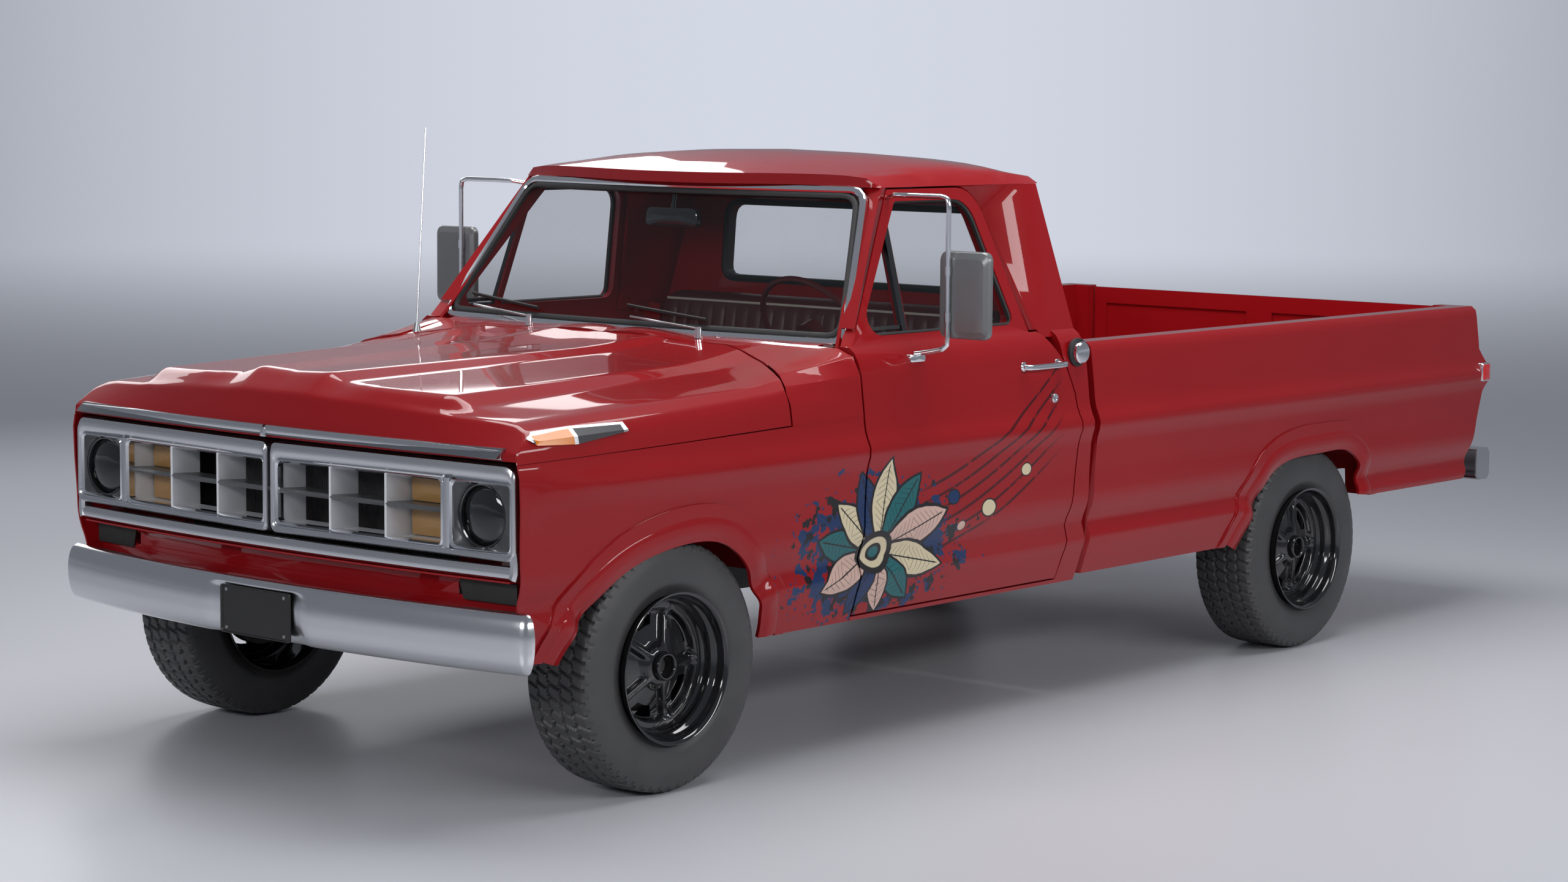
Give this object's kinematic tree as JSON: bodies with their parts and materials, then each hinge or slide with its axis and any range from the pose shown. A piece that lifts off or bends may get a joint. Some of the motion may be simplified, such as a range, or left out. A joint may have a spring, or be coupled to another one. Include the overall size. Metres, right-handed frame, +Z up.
{
  "type": "decorated pickup truck",
  "caption": "Long-bed pickup truck with a two-door cab, clamshell hood, full-width grille, tall bumpers, deep-dish wheels and a drop-down tailgate",
  "frame": {"origin": "on the ground under the middle of the overall length and width", "axes": "+X forward, +Y to the left side, +Z up"},
  "size_m": [5.4781, 2.406, 1.8436],
  "materials": {
    "paint": "deep red gloss enamel",
    "inner_paint": "deep red enamel, inner panels",
    "underbody": "black chassis paint",
    "chrome": "bright chrome",
    "bright_aluminium": "satin aluminium",
    "black_gloss": "gloss black wheel enamel",
    "tyre": "black tyre rubber",
    "glass": "lightly tinted clear glass",
    "seat_cover": "dark red pleated vinyl",
    "dark_plastic": "dark grained plastic",
    "lamp_lens": "red lamp lens",
    "dark_red_plastic": "dark red plastic",
    "cast": "cast iron, painted",
    "steel": "bare steel"
  },
  "bodies": {
    "chassis": {"frame_rails": "underbody", "engine_block": "cast", "radiator": "underbody", "cab_floor": "inner_paint", "cowl": "paint", "cab_sides": "paint", "cab_back": "paint", "cab_roof": "paint", "cab_glass": "glass", "dashboard": "dark_plastic", "bench_seat": "seat_cover", "seat_frame": "underbody", "front_axle_beams": "underbody", "rear_axle": "underbody", "driveshaft": "underbody", "exhaust": "steel", "fuel_tank": "steel", "front_bumper": "chrome", "rear_bumper": "chrome", "grille": "bright_aluminium", "headlamps": "dark_plastic", "fender_left": "paint", "fender_right": "paint", "valance": "paint", "bed_side_left": "paint", "bed_side_right": "paint", "bed_floor": "inner_paint", "bed_front": "inner_paint", "tail_lamps": "lamp_lens", "cowl_fittings": "chrome"},
    "hood_body": {"hood": "paint", "hood_trim": "chrome"},
    "door_left_body": {"door_left": "paint", "door_left_glass": "glass", "door_left_hardware": "chrome"},
    "door_right_body": {"door_right": "paint", "door_right_glass": "glass", "door_right_hardware": "chrome"},
    "tailgate_body": {"tailgate": "paint"},
    "knuckle_left_body": {"knuckle_left": "cast"},
    "knuckle_right_body": {"knuckle_right": "cast"},
    "steering_wheel_body": {"steering_wheel": "dark_red_plastic"},
    "wheel_front_left": {"tyre_front_left": "tyre", "rim_front_left": "black_gloss"},
    "wheel_front_right": {"tyre_front_right": "tyre", "rim_front_right": "black_gloss"},
    "wheel_rear_left": {"tyre_rear_left": "tyre", "rim_rear_left": "black_gloss"},
    "wheel_rear_right": {"tyre_rear_right": "tyre", "rim_rear_right": "black_gloss"}
  },
  "joints": [
    {"name": "steer_left", "type": "hinge", "parent": "chassis", "child": "knuckle_left_body", "pos_m": [2.0285, 0.742, 0.361], "axis": [0, 0, 1], "range_deg": [-30, 30]},
    {"name": "steer_right", "type": "hinge", "parent": "chassis", "child": "knuckle_right_body", "pos_m": [2.0285, -0.742, 0.361], "axis": [0, 0, 1], "range_deg": [-30, 30]},
    {"name": "steering_wheel_turn", "type": "hinge", "parent": "chassis", "child": "steering_wheel_body", "pos_m": [0.7285, 0.374, 1.216], "axis": [-0.848, 0, 0.5299], "range_deg": [-480, 480]},
    {"name": "door_left_swing", "type": "hinge", "parent": "chassis", "child": "door_left_body", "pos_m": [1.2035, 1.008, 0.9], "axis": [0, 0, -1], "range_deg": [0, 65]},
    {"name": "door_right_swing", "type": "hinge", "parent": "chassis", "child": "door_right_body", "pos_m": [1.2035, -1.008, 0.9], "axis": [0, 0, 1], "range_deg": [0, 65]},
    {"name": "hood_lift", "type": "hinge", "parent": "chassis", "child": "hood_body", "pos_m": [1.3145, 0, 1.222], "axis": [0, -1, 0], "range_deg": [0, 50]},
    {"name": "tailgate_drop", "type": "hinge", "parent": "chassis", "child": "tailgate_body", "pos_m": [-2.5245, 0, 0.636], "axis": [0, -1, 0], "range_deg": [0, 90]},
    {"name": "spin_front_left", "type": "hinge", "parent": "knuckle_left_body", "child": "wheel_front_left", "pos_m": [2.0285, 0.851, 0.361], "axis": [0, 1, 0], "continuous": true},
    {"name": "spin_front_right", "type": "hinge", "parent": "knuckle_right_body", "child": "wheel_front_right", "pos_m": [2.0285, -0.851, 0.361], "axis": [0, 1, 0], "continuous": true},
    {"name": "spin_rear_left", "type": "hinge", "parent": "chassis", "child": "wheel_rear_left", "pos_m": [-1.2985, 0.851, 0.361], "axis": [0, 1, 0], "continuous": true},
    {"name": "spin_rear_right", "type": "hinge", "parent": "chassis", "child": "wheel_rear_right", "pos_m": [-1.2985, -0.851, 0.361], "axis": [0, 1, 0], "continuous": true}
  ],
  "couplings": [
    {"joint": "steer_right", "follows": "steer_left", "ratio": 1},
    {"joint": "steering_wheel_turn", "follows": "steer_left", "ratio": 16}
  ]
}
